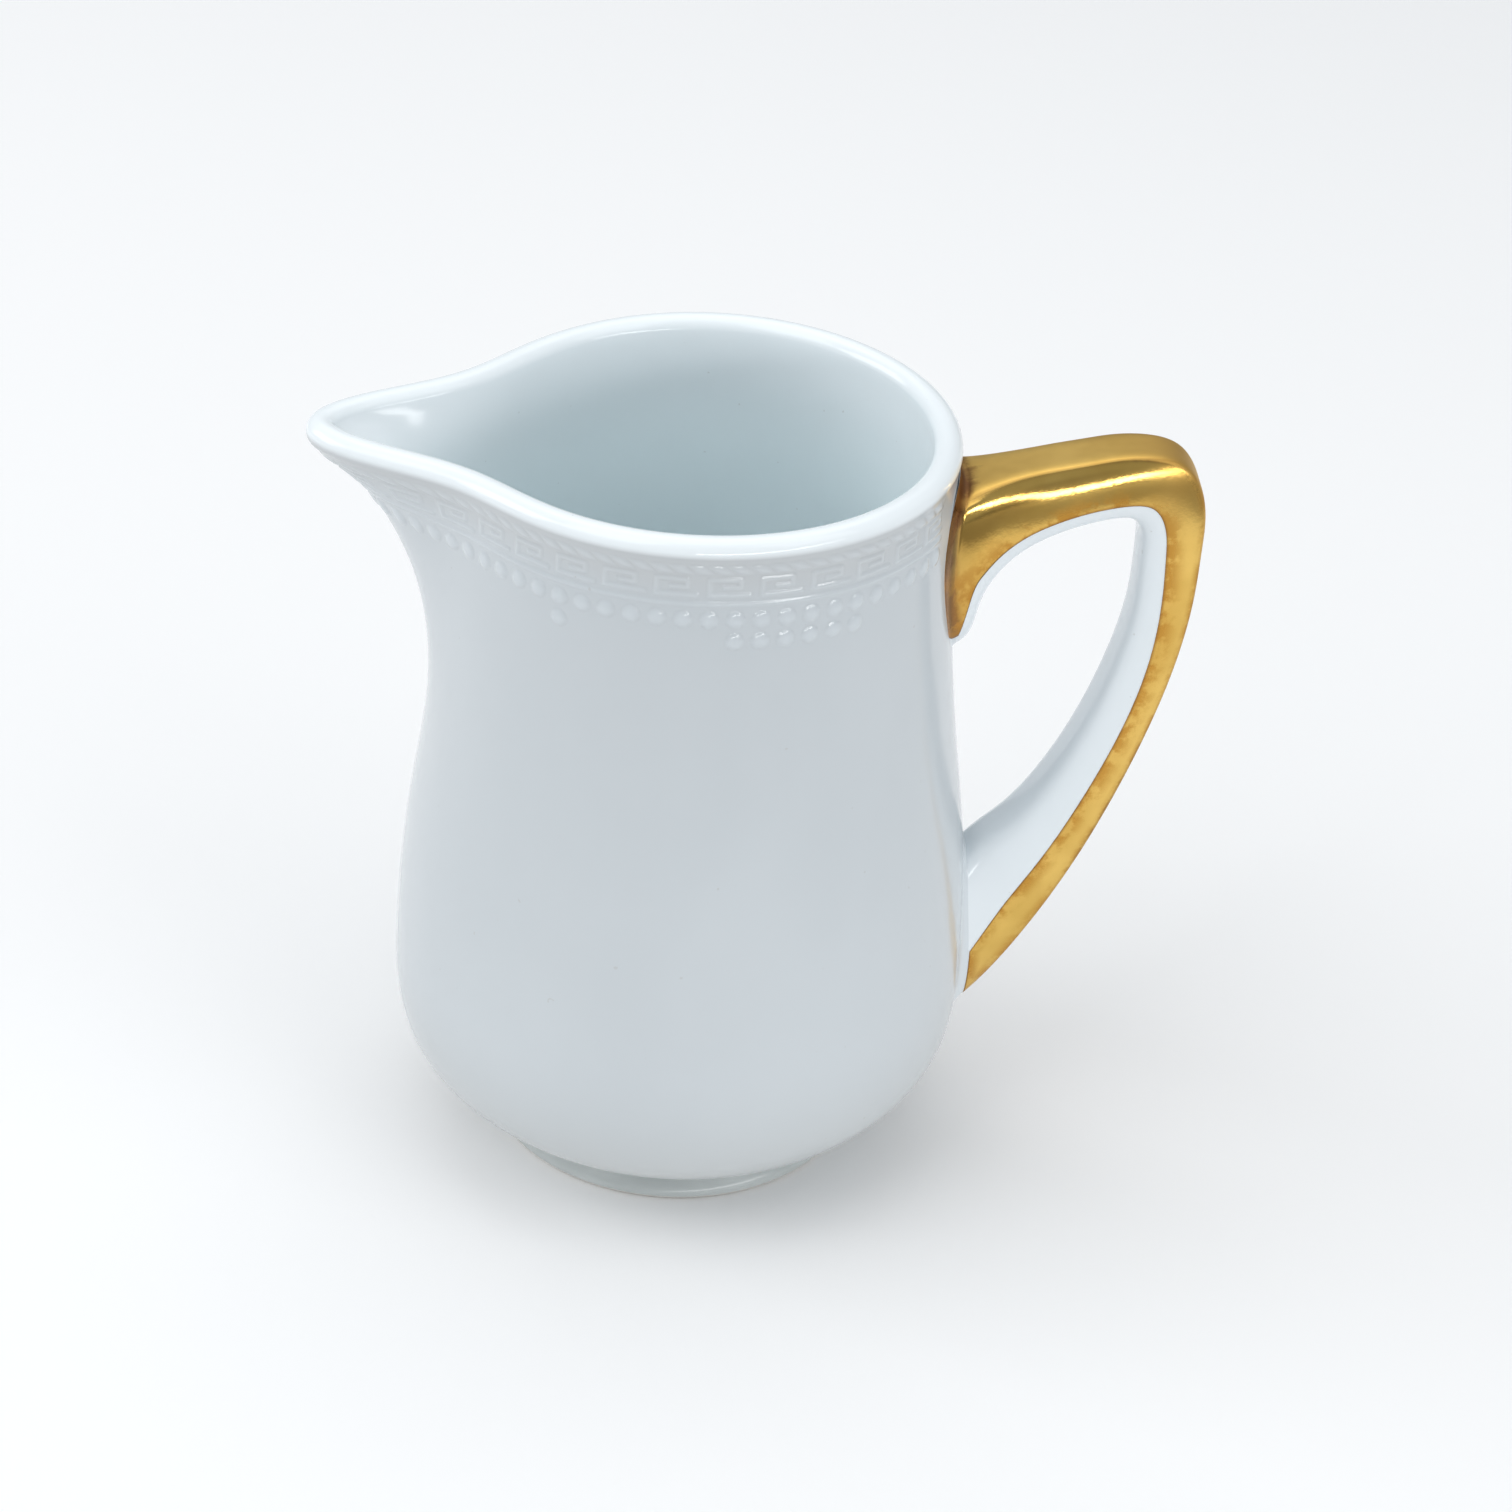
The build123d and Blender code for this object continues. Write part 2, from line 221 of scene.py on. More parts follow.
# ---- the body's shape ---------------------------------------------------------------------------
def spout_bulge(angle):
    across = 2 * np.sin((angle - np.pi) / 2) / SPOUT_HALF_WIDTH
    return (1 + 3 * across**2 / SPOUT_SHARPNESS) ** -SPOUT_SHARPNESS


def round_radius(level):
    knots, radii = zip(*(BODY_LEVELS + [(RIM_HEIGHT, RIM_RADIUS)]))
    return spline(knots, radii, np.atleast_1d(level))


def outer_radius(angle, level):
    """Radius of the outer surface: the round body plus the spout's bulge."""
    growth = np.maximum((level - SPOUT_START) / (RIM_HEIGHT - SPOUT_START), 0.0) ** SPOUT_GROWTH
    return round_radius(level) + SPOUT_REACH * growth * spout_bulge(angle)


def ring_height(angle, level):
    """Height of a level: the upper levels sink towards the spout."""
    towards_spout = ((1 - np.cos(angle)) / 2) ** 2.8
    return level - RIM_DROP_AT_SPOUT * towards_spout * smooth_step((level - 40) / 60)


def ring(angle, level, inset=0.0):
    """Points round the body at a level, moved inwards along the contour's own normal."""
    step = 0.002
    radius = outer_radius(angle, level)
    slope = (outer_radius(angle + step, level) - outer_radius(angle - step, level)) / (2 * step)
    normal = np.stack([
        radius * np.cos(angle) + slope * np.sin(angle),
        radius * np.sin(angle) - slope * np.cos(angle),
        np.zeros_like(angle),
    ], axis=-1)
    normal /= np.linalg.norm(normal, axis=-1, keepdims=True)
    height = ring_height(angle, level)
    points = np.stack([radius * np.cos(angle), radius * np.sin(angle), height], axis=-1)
    return points - normal * inset, normal


def even_angles(count, level=92.0):
    """Angles of points evenly spaced by length along the contour, and that length."""
    dense = np.linspace(0, 2 * np.pi, 4001)
    points, _ = ring(dense, level)
    length = np.concatenate([[0], np.cumsum(np.linalg.norm(np.diff(points, axis=0), axis=1))])
    return np.interp(np.arange(count) / count * length[-1], length, dense), length[-1]


# ---- the relief ---------------------------------------------------------------------------------
def soft_box(value, low, high, edge):
    """1 inside low to high, fading to 0 across soft edges outside."""
    return smooth_step((value - low) / edge + 0.5) * smooth_step((high - value) / edge + 0.5)


def relief_height(along, level, length, angles):
    """Height of the relief at places round the body, in mm. along and level are arrays."""
    height = np.zeros(np.broadcast(along, level).shape)
    from_handle = np.minimum(along, length - along)
    # Rope edging: rounded strands that slant across their row.
    pitch = length / round(length / ROPE_PITCH)
    across = (level - ROPE_LEVEL) / ROPE_HALF_WIDTH
    phase = (along + ROPE_SLANT * (level - ROPE_LEVEL)) / pitch
    strand = np.abs((phase % 1) - 0.5) * 2
    height += ROPE_RELIEF * np.clip(1 - across**2, 0, 1) ** 0.7 * np.clip(1 - strand**2.4, 0, 1)
    # Fret border: keys between two soft edges.
    pitch = length / round(length / FRET_PITCH)
    u, (low, high) = (along / pitch) % 1, FRET_LEVELS
    v = (level - low) / (high - low)
    key = np.zeros(height.shape)
    for left, right, bottom, top in FRET_BARS:
        bar = soft_box(u, left, right, 0.045) * soft_box(v, bottom, top, 0.12)
        key = np.maximum(key, bar)
    height = np.maximum(height, FRET_RELIEF * key)
    # A plain fillet line between the fret and the beads.
    across = (level - FILLET_LEVEL) / FILLET_HALF_WIDTH
    height = np.maximum(height, FILLET_RELIEF * np.clip(1 - across**2, 0, 1))
    # Beads: shallow domes.
    pitch = length / round(length / BEAD_PITCH)
    offset = ((along / pitch + 0.5) % 1 - 0.5) * pitch
    distance = np.hypot(offset, level - BEAD_LEVEL) / BEAD_RADIUS
    height = np.maximum(height, BEAD_RELIEF * np.clip(1 - distance**2, 0, 1) ** 0.75)
    for middle, count in DROP_GROUPS.items():
        centre = np.interp(np.radians(middle) % (2 * np.pi), angles, along[0])
        first = np.round(centre / pitch - (count - 1) / 2)
        for bead in range(count):
            distance = np.hypot(along - (first + bead) * pitch, level - DROP_LEVEL) / BEAD_RADIUS
            height = np.maximum(height, BEAD_RELIEF * np.clip(1 - distance**2, 0, 1) ** 0.75)
    return height * smooth_step((from_handle - RELIEF_STOPS) / RELIEF_FADE)


def neck(angle, share):
    """Points of the wall between its top level and the roll."""
    top, step = BODY_LEVELS[-1][0], 0.05
    wall_top, normal = ring(angle, top)
    slope = (wall_top - ring(angle, top - step)[0]) / step
    starts = [roll_point(angle, start) for start in LIP_ROLL_STARTS]
    bulge = spout_bulge(angle)[:, None]
    roll_start = starts[0] * (1 - bulge) + starts[1] * bulge
    turn = np.radians(LIP_ROLL_STARTS[0] + (LIP_ROLL_STARTS[1] - LIP_ROLL_STARTS[0]) * bulge)
    heading = -np.sin(turn) * normal + np.cos(turn) * np.array([0, 0, 1])
    gap = np.linalg.norm(roll_start - wall_top, axis=1, keepdims=True)
    t = share
    return (
        (2 * t**3 - 3 * t**2 + 1) * wall_top + (t**3 - 2 * t**2 + t) * slope * gap
        + (3 * t**2 - 2 * t**3) * roll_start + (t**3 - t**2) * heading * gap
    )


def roll_point(angle, roll):
    """Points of the lip's half-round roll, at an angle above its outermost line."""
    turn = np.radians(roll)
    points, _ = ring(angle, RIM_HEIGHT, LIP_ROLL_RADIUS * (1 - np.cos(turn)))
    points[:, 2] += LIP_ROLL_RADIUS * (np.sin(turn) - 1).reshape(-1)
    return points


def body_rows(angle, length):
    """Rings of the cast body from the underside, up the outside, over the lip, to the floor.

    With them, how far each point takes the lighter colour of the lip and the inside, painted light, rather
    than the outer wall's darker one, painted shade, and how high the relief stands."""
    along = np.arange(len(angle))[None, :] / len(angle) * length
    base = BODY_LEVELS[0][0]
    rows = [
        np.stack([r * np.cos(angle), r * np.sin(angle), np.full_like(angle, base)], -1)
        for r in (0.4, 8.0, 16.0, 20.0, 21.6, 22.2)
    ]
    lower = np.concatenate([np.linspace(3, 14, 22), np.linspace(14, 84, 60)[1:]])
    rows += [ring(angle, level)[0] for level in lower]
    fine = np.arange(84.15, 90.0, 0.15)
    first_fine = len(rows)
    rows += [ring(angle, level)[0] for level in fine]
    shares = np.linspace(0, 1, 48)
    rows += [neck(angle, share) for share in shares]
    levels = np.concatenate([fine, 90 + shares * 7.4])
    relief = relief_height(along, levels[:, None], length, angle)
    band = np.array(rows[first_fine:])
    normal = np.cross(np.roll(band, -1, 1) - np.roll(band, 1, 1), np.gradient(band, axis=0))
    normal /= np.linalg.norm(normal, axis=2, keepdims=True)
    band += normal * relief[:, :, None]
    rows[first_fine:] = list(band)
    lip_painted_light = []
    starts = LIP_ROLL_STARTS[0] + (LIP_ROLL_STARTS[1] - LIP_ROLL_STARTS[0]) * spout_bulge(angle)
    outside_count = len(rows)
    for share in np.linspace(0, 1, 26)[1:]:
        turn = np.radians(starts + (LIP_ROLL_END - starts) * share)
        normal = ring(angle, RIM_HEIGHT)[1]
        points = ring(angle, RIM_HEIGHT)[0] - normal * (LIP_ROLL_RADIUS * (1 - np.cos(turn)))[:, None]
        points[:, 2] += LIP_ROLL_RADIUS * (np.sin(turn) - 1)
        rows.append(points)
        # Over the lip's roll the colour turns from the wall's painted shade to painted light.
        lip_painted_light.append(smooth_step((np.degrees(turn) + 16) / 30))
    inside = inside_rows(angle, rows[-1])
    # 1 takes the lighter colour of the lip and the inside, painted light; 0 takes the outer wall's darker
    # colour, painted shade.
    painted_light_share, raised = np.ones((2, len(rows) + len(inside), len(angle)))
    painted_light_share[:outside_count], painted_light_share[outside_count:len(rows)] = 0, lip_painted_light
    raised *= 0
    raised[first_fine:outside_count] = relief / BEAD_RELIEF
    return rows + inside, painted_light_share, raised


def inside_rows(angle, lip_end):
    """Rings down the inside, from the end of the lip's roll to the middle of the floor."""
    levels = [94.0, 88.0, 80.0, 70.0, 58.0, 45.0, 32.0, 24.0]
    knots = [lip_end]
    for level in levels:
        thickness = WALL + 0.8 * smooth_step((level - 84) / 14)
        knots.append(ring(angle, level, thickness)[0])
    for height, radius in BOWL_LEVELS:
        knots.append(np.stack(
            [radius * np.cos(angle), radius * np.sin(angle), np.full_like(angle, height)], -1
        ))
    knots = np.array(knots)
    middle = len(angle) // 4
    gaps = np.linalg.norm(np.diff(knots[:, middle], axis=0), axis=1)
    places = np.concatenate([[0], np.cumsum(gaps)])
    at = np.linspace(0, places[-1], 90)[1:]
    return list(spline(places, knots.reshape(len(knots), -1), at).reshape(len(at), -1, 3))


def cast_body():
    angle, length = even_angles(1024)
    rows, painted_light_share, raised = body_rows(angle, length)
    points = np.concatenate(rows)
    faces = grid_faces(len(rows), len(angle))
    caps = [list(range(len(angle)))[::-1], list(range(len(points) - len(angle), len(points)))]
    item = mesh_object("cast_body", points, faces + caps)
    add_attribute(item, "painted_light_share", painted_light_share)
    add_attribute(item, "raised", raised)
    return item


# ---- the foot -----------------------------------------------------------------------------------
def foot():
    """The turned foot ring, its edges rounded as they are after turning and glazing."""
    outline = np.array(FOOT_OUTLINE)
    places = np.concatenate([[0], np.cumsum(np.linalg.norm(np.diff(outline, axis=0), axis=1))])
    profile = spline(places, outline, np.linspace(0, places[-1], 48))
    profile[:, 1] = np.maximum(profile[:, 1], 0)
    angle = np.linspace(0, 2 * np.pi, 256, endpoint=False)
    rows = [
        np.stack([r * np.cos(angle), r * np.sin(angle), np.full_like(angle, z)], -1)
        for r, z in profile
    ]
    faces = grid_faces(len(rows) + 1, len(angle))
    count = len(rows) * len(angle)
    faces = [[v % count for v in face] for face in faces]
    return mesh_object("foot", np.concatenate(rows), faces)


# ---- the handle ---------------------------------------------------------------------------------
RIB_TABLE = np.array([(*outer, *inner, width, gilt) for outer, inner, width, gilt in HANDLE_RIBS])
RIB_STEPS = np.diff((RIB_TABLE[:, 0:2] + RIB_TABLE[:, 2:4]) / 2, axis=0)
RIB_PLACES = np.concatenate([[0], np.cumsum(np.linalg.norm(RIB_STEPS, axis=1))])
HANDLE_LENGTH = RIB_PLACES[-1]


def handle_skin(place, turn):
    """Points of the handle's skin, place mm along it and a turn round its section."""
    place, turn = np.broadcast_arrays(place, turn)
    rib = spline(RIB_PLACES, RIB_TABLE, place.ravel()).reshape(*place.shape, 6)
    outer, inner, width = rib[..., 0:2], rib[..., 2:4], rib[..., 4]
    down, side = section_shape(turn)
    centre = outer + (inner - outer) * down[..., None]
    flare = side_flare(centre[..., 0], down, place)
    side = side * width + flare * np.clip(side / 0.25, 0, 1)
    return np.stack([centre[..., 0], side * np.sign(np.sin(turn)), centre[..., 1]], axis=-1)


def section_shape(turn):
    """How far down the section a turn is, and how far out, as a share of the half width."""
    table = np.array(HANDLE_SECTION)
    round_way = np.abs((np.asarray(turn) / np.pi + 1) % 2 - 1)
    # The section is mirrored past both ends, so that the curve runs level through them.
    before, after = table[3:0:-1] * (-1, 1, -1), table[-2:-5:-1] * (-1, 1, -1) + (2, 0, 0)
    table = np.concatenate([before, table, after])
    shape = spline(table[:, 0], table[:, 1:], round_way.ravel()).reshape(*round_way.shape, 2)
    return np.clip(shape[..., 0], 0, 1), np.maximum(shape[..., 1], 0)


def side_flare(x, down, place):
    """Extra half width, down the side, where the handle spreads into the body."""
    run = np.clip(UPPER_FLARE_START - x, 0, UPPER_FLARE_RUN)
    upper = UPPER_FLARE_RADIUS - np.sqrt(UPPER_FLARE_RADIUS**2 - run**2)
    upper = upper * down**0.2 * (1 - down) ** 0.6 * UPPER_FLARE_SHARE
    to_end = HANDLE_LENGTH - place
    lower = LOWER_FLARE * np.clip(1 - to_end / 12, 0, 1) ** 2 * np.sin(np.pi * down) ** 0.5
    return np.where(place < HANDLE_LENGTH / 2, upper, lower)


def out_of_body(points):
    """How far points near the handle's side stand out of the body's wall."""
    angle = np.arctan2(points[..., 1], points[..., 0])
    level = np.minimum(points[..., 2], RIM_HEIGHT - 1)
    wall = outer_radius(angle.ravel(), level.ravel()).reshape(angle.shape)
    return np.hypot(points[..., 0], points[..., 1]) - wall


def joint_places(turn, at_top, clearance=0.0):
    """Places where the handle comes out of the body by a clearance, evened out round it."""
    count, spread = 360, 10
    grid = np.arange(count) / count * 2 * np.pi
    window = np.hanning(2 * spread + 1)
    around = np.pad(first_places_outside(grid, at_top, clearance), spread, mode="wrap")
    even = np.convolve(around, window / window.sum(), mode="valid")
    return np.interp(turn, grid, even, period=2 * np.pi)


def first_places_outside(turn, at_top, clearance):
    """The place on each line along the handle at which it last leaves the body."""
    span = np.linspace(0, HANDLE_LENGTH / 4, 500)
    places = span if at_top else HANDLE_LENGTH - span
    out = out_of_body(handle_skin(places[:, None], turn[None, :])) - clearance
    last_inside = len(span) - 1 - np.argmax(out[::-1] < 0, axis=0)
    column = np.arange(len(turn))
    low, high = out[last_inside, column], out[last_inside + 1, column]
    share = -low / (high - low)
    return places[last_inside] + share * (places[last_inside + 1] - places[last_inside])


def unit(vectors):
    """The same directions with a length of one."""
    return vectors / np.linalg.norm(vectors, axis=-1, keepdims=True)


def fillet(turn, at_top):
    """Rows of the slip fillet from the body up to the handle, and the joint line's points."""
    reach = UPPER_FILLET if at_top else LOWER_FILLET
    from_inner = (1 - section_shape(turn)[0][:, None]) ** 2
    on_body, on_handle = (inner + (outer - inner) * from_inner for outer, inner in zip(*reach))
    place = joint_places(turn, at_top)
    corner = handle_skin(place, turn)
    sense, step, wide_step = (1 if at_top else -1), 0.02, 0.15
    up_handle = unit(handle_skin(place + sense * step, turn) - corner)
    around = unit(handle_skin(place, turn + wide_step) - handle_skin(place, turn - wide_step))
    outwards = unit(np.cross(around, up_handle) * -sense)
    body_out = unit(corner * (1, 1, 0))
    away = unit(outwards - body_out * np.sum(outwards * body_out, axis=-1, keepdims=True))
    low = corner + away * on_body
    angle = np.arctan2(low[:, 1], low[:, 0])
    radius = outer_radius(angle, np.minimum(low[:, 2], RIM_HEIGHT - 1)) - 0.04
    low = np.stack([radius * np.cos(angle), radius * np.sin(angle), low[:, 2]], axis=-1)
    place_above = place + sense * on_handle[:, 0]
    high = handle_skin(place_above, turn) - outwards * 0.03
    share = np.linspace(0, 1, 15)[:, None, None]
    rows = (1 - share) ** 2 * low + 2 * share * (1 - share) * corner + share**2 * high
    return rows, corner - outwards * 0.4 - body_out * 0.4, place_above


def slip_fillet(name, at_top):
    """A closed ring of slip round one end of the handle."""
    turns = np.linspace(0, 2 * np.pi, 180, endpoint=False)
    rows, buried, _ = fillet(turns, at_top)
    points = np.concatenate([rows, buried[None]])
    count, columns, _ = points.shape
    faces = [[v % (count * columns) for v in face] for face in grid_faces(count + 1, columns)]
    if at_top:
        faces = [face[::-1] for face in faces]
    return mesh_object(name, points.reshape(-1, 3), faces)


def handle_porcelain():
    turns = np.linspace(0, 2 * np.pi, 144, endpoint=False)[None, :]
    places = np.linspace(RIB_PLACES[1], HANDLE_LENGTH, 300)[:, None]
    points = handle_skin(places, turns)
    rows, columns, _ = points.shape
    faces = [face[::-1] for face in grid_faces(rows, columns)]
    caps = [list(range(columns)), list(range(columns * (rows - 1), columns * rows))[::-1]]
    return mesh_object("handle_porcelain", points.reshape(-1, 3), faces + caps)


def gilt_turn(place):
    """The turn round the section at which the gilding ends."""
    turns = np.linspace(0, np.pi, 400)
    share = spline(RIB_PLACES, RIB_TABLE[:, 5], place)
    return np.interp(share, section_shape(turns)[0], turns)


def handle_gold(stations=420, columns=121, thickness=0.06):
    """The gold film: up the fillet of the upper root, then along the handle's outside."""
    across = np.linspace(-1, 1, columns)
    start_edge = RIB_PLACES[2]
    for _ in range(GOLD_EDGE_PASSES):
        start_edge = joint_places(gilt_turn(np.array([start_edge])), True)[0] + UPPER_FILLET[1][1]
    end_edge = HANDLE_LENGTH - 4
    for _ in range(GOLD_EDGE_PASSES):
        end_edge = joint_places(gilt_turn(np.array([end_edge])), False, GOLD_STOPS_SHORT)[0]
    root_turns = across * gilt_turn(np.array([start_edge]))
    root_rows, _, root_places = fillet(root_turns, True)
    # Towards the body the film's lower corners are rounded off.
    for row, height in zip(root_rows, np.linspace(0, 1, len(root_rows))):
        drawn_in = across * (1 - GOLD_CORNER * (1 - height) ** 2)
        row[:] = np.stack([np.interp(drawn_in, across, column) for column in row.T], axis=-1)
    end_places = joint_places(across * gilt_turn(np.array([end_edge])), False, GOLD_STOPS_SHORT)
    share = np.linspace(0, 1, stations)[1:, None]
    turns = across * gilt_turn(start_edge + (end_edge - start_edge) * share[:, 0])[:, None]
    places = root_places + (end_places - root_places) * share
    base = np.concatenate([root_rows, handle_skin(places, turns)])
    normal = unit(np.cross(np.gradient(base, axis=0), np.gradient(base, axis=1)))
    layers = [base + normal * thickness, base + normal * 0.005]
    rows = len(base)
    count = rows * columns
    outside = grid_faces(rows, columns, closed_round=False)
    outside = [face[::-1] for face in outside]
    faces = outside + [[v + count for v in face[::-1]] for face in outside]
    first = np.arange(columns)
    left = np.arange(rows) * columns
    loop = np.concatenate([first[:-1], left[:-1] + columns - 1, (count - 1 - first)[:-1], left[:0:-1]])
    faces += [[int(a), int(b), int(b) + count, int(a) + count] for a, b in zip(loop, np.roll(loop, -1))]
    item = mesh_object("handle_gold", np.concatenate(layers).reshape(-1, 3), faces)
    from_joint = lengths_along(base, 0)
    from_edge = lengths_along(base, 1)
    from_edge = np.minimum(from_edge, from_edge[:, -1:] - from_edge)
    from_end = from_joint[-1:] - from_joint
    root_down = section_shape(root_turns)[0][None].repeat(len(root_rows), 0)
    down = np.concatenate([root_down, section_shape(turns)[0]])
    smudge = patch(base[..., 0], down, SMUDGE)
    bend = patch(base[..., 0], base[..., 2], BEND)
    for name, values in (
        ("from_joint", from_joint), ("from_edge", np.minimum(from_edge, from_end)),
        ("down", down), ("smudge", smudge), ("bend", bend),
    ):
        add_attribute(item, name, np.concatenate([values.ravel(), values.ravel()]))
    return item


def patch(first, second, spans):
    """1 in the middle of a soft patch, fading out across its two spans."""
    (place, width), (other_place, other_width) = spans
    return np.exp(-(((first - place) / width) ** 2) - ((second - other_place) / other_width) ** 2)


def lengths_along(grid, axis):
    """Distance of each point of a grid from its first one, along an axis."""
    steps = np.linalg.norm(np.diff(grid, axis=axis), axis=-1)
    zero = np.zeros_like(np.take(steps, [0], axis=axis))
    return np.concatenate([zero, np.cumsum(steps, axis=axis)], axis=axis)


# ---- materials ----------------------------------------------------------------------------------
class Surface:
    """A material and short ways to wire its nodes."""

    def __init__(self, name):
        self.material = bpy.data.materials.new(name)
        self.material.use_nodes = True
        self.tree = self.material.node_tree
        self.shader = self.tree.nodes["Principled BSDF"]
        self.place = self.tree.nodes.new("ShaderNodeTexCoord").outputs["Object"]

    def set(self, **values):
        for key, value in values.items():
            socket = self.shader.inputs[key.replace("_", " ")]
            if isinstance(value, bpy.types.NodeSocket):
                self.tree.links.new(value, socket)
            else:
                socket.default_value = value

    def feed(self, node, **values):
        for key, value in values.items():
            if isinstance(value, bpy.types.NodeSocket):
                self.tree.links.new(value, node.inputs[key])
            else:
                node.inputs[key].default_value = value
        return node

    def noise(self, scale, detail=2.0, roughness=0.5, stretch=(1, 1, 1)):
        """Noise between about 0.3 and 0.7, scale in cells per metre."""
        mapping = self.feed(self.tree.nodes.new("ShaderNodeMapping"), Vector=self.place, Scale=stretch)
        node = self.tree.nodes.new("ShaderNodeTexNoise")
        self.feed(node, Vector=mapping.outputs["Vector"], Scale=scale, Detail=detail, Roughness=roughness)
        return node.outputs["Fac"]

    def rise(self, value, low, high, to_low=0.0, to_high=1.0):
        """A smooth rise of a value's map from to_low to to_high."""
        node = self.tree.nodes.new("ShaderNodeMapRange")
        node.interpolation_type = "SMOOTHSTEP"
        keys = ("From Min", "From Max", "To Min", "To Max")
        for key, number in zip(keys, (low, high, to_low, to_high)):
            node.inputs[key].default_value = number
        self.tree.links.new(value, node.inputs["Value"])
        return node.outputs["Result"]

    def math(self, operation, first, second):
        node = self.tree.nodes.new("ShaderNodeMath")
        node.operation = operation
        for index, value in enumerate((first, second)):
            if isinstance(value, bpy.types.NodeSocket):
                self.tree.links.new(value, node.inputs[index])
            else:
                node.inputs[index].default_value = value
        return node.outputs["Value"]

    def mix(self, factor, first, second):
        node = self.tree.nodes.new("ShaderNodeMix")
        node.data_type = "RGBA"
        for socket, value in zip((node.inputs[0], node.inputs[6], node.inputs[7]), (factor, first, second)):
            if isinstance(value, bpy.types.NodeSocket):
                self.tree.links.new(value, socket)
            else:
                socket.default_value = (*value, 1) if isinstance(value, tuple) else value
        return node.outputs[2]

    def attribute(self, name):
        node = self.tree.nodes.new("ShaderNodeAttribute")
        node.attribute_name = name
        return node.outputs["Fac"]

    def axis(self, name):
        """A place's coordinate along an axis, in metres."""
        node = self.tree.nodes.new("ShaderNodeSeparateXYZ")
        self.tree.links.new(self.place, node.inputs[0])
        return node.outputs[name]

    def bump(self, height, distance, strength=1.0):
        node = self.tree.nodes.new("ShaderNodeBump")
        self.feed(node, Height=height, Distance=distance, Strength=strength)
        self.set(Normal=node.outputs["Normal"])


def glaze_over(surface, clouds, colour):
    """A clear, slightly rippled glaze over a colour, with a few fired-in specks."""
    specks = surface.rise(surface.noise(900.0, 1.0), 0.78, 0.81, 0.0, 0.25)
    colour = surface.mix(specks, colour, (0.42, 0.40, 0.36))
    surface.bump(surface.noise(55.0, 2.0, 0.5), 0.0006, 0.5)
    surface.set(Base_Color=colour, IOR=1.52, Roughness=surface.rise(clouds, 0, 1, 0.10, 0.17))


def porcelain(name, light=(0.84, 0.89, 0.92), dark=(0.81, 0.865, 0.895)):
    """Cool white porcelain under a clear glossy glaze."""
    surface = Surface(name)
    clouds = surface.rise(surface.noise(24.0, 3.0, 0.55, (1, 1, 0.6)), 0.35, 0.65)
    glaze_over(surface, clouds, surface.mix(clouds, dark, light))
    return surface.material


def body_porcelain(name="body_glaze"):
    """The body's glaze: lighter and tinted on the lip and inside, as painted light; darker outside, as
    painted shade, more so under the lip and towards the bottom; lighter on the relief, as painted
    highlights.
    """
    surface = Surface(name)
    height = surface.axis("Z")
    clouds = surface.rise(surface.noise(24.0, 3.0, 0.55, (1, 1, 0.6)), 0.35, 0.65)
    # The outer wall is drawn darker than the glaze on the lip and inside: painted shade.
    wall = surface.mix(clouds, (0.580, 0.621, 0.647), (0.609, 0.650, 0.676))
    # A darker band on the neck just under the lip: painted shade.
    neck = surface.rise(height, 0.0915, 0.0955, 0.0, 0.75)
    wall = surface.mix(neck, wall, (0.565, 0.588, 0.600))
    # Darker towards the bottom of the belly: painted shade.
    wall = surface.mix(surface.rise(height, 0.006, 0.030, 0.85, 0.0), wall, (0.510, 0.530, 0.530))
    # The raised relief is drawn lighter than the wall: painted highlights.
    relief = surface.math("MULTIPLY", surface.attribute("raised"), 0.35)
    wall = surface.mix(relief, wall, (0.74, 0.80, 0.84))
    # The inside and the lip are drawn lighter than the outer wall: painted light.
    inside = surface.mix(
        surface.rise(height, 0.080, 0.0975), (0.860, 0.955, 0.980), (0.890, 0.945, 0.970)
    )
    glaze_over(surface, clouds, surface.mix(surface.attribute("painted_light_share"), wall, inside))
    return surface.material


